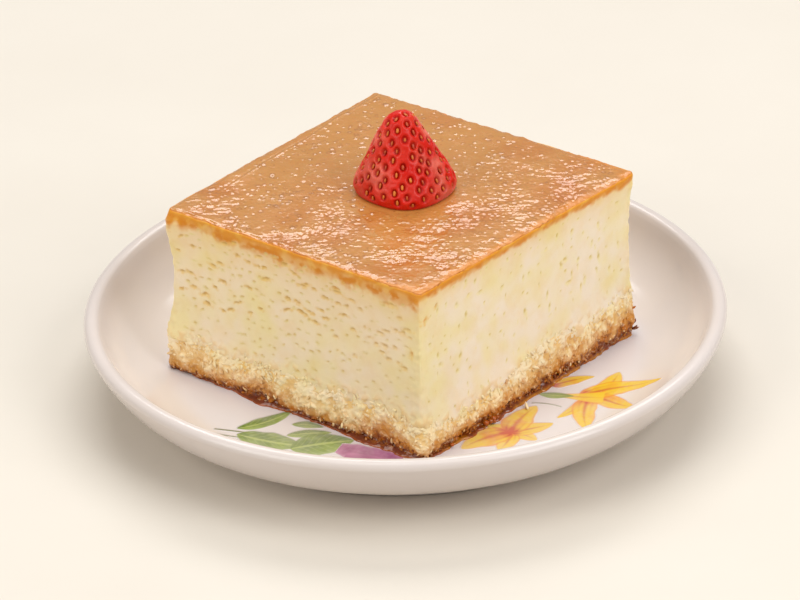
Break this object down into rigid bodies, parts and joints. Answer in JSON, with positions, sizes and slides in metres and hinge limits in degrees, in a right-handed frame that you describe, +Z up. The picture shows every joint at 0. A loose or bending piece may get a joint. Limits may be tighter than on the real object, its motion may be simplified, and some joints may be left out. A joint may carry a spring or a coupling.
{
  "type": "caramel cheesecake",
  "caption": "Square slab of baked caramel cheesecake on a coconut base, with a glossy caramel skin and a strawberry on top, standing in its own caramel on a shallow round dessert plate.",
  "frame": {"origin": "on the plate's axis, at the level that its foot ring stands on", "axes": "+Z up along the plate's axis; the slab's cut sides run roughly along X and Y, and the two sides that the picture shows face -Y and +X"},
  "size_m": [0.158, 0.158, 0.0721],
  "materials": {
    "porcelain": "gloss",
    "caramel": "gloss",
    "coconut": "matte",
    "custard": "satin",
    "caramel_skin": "satin",
    "strawberry": "gloss"
  },
  "bodies": {
    "root": {"plate": "porcelain", "caramel_base": "caramel", "coconut_base": "coconut", "custard": "custard", "caramel_top": "caramel_skin", "strawberry": "strawberry"}
  },
  "joints": []
}
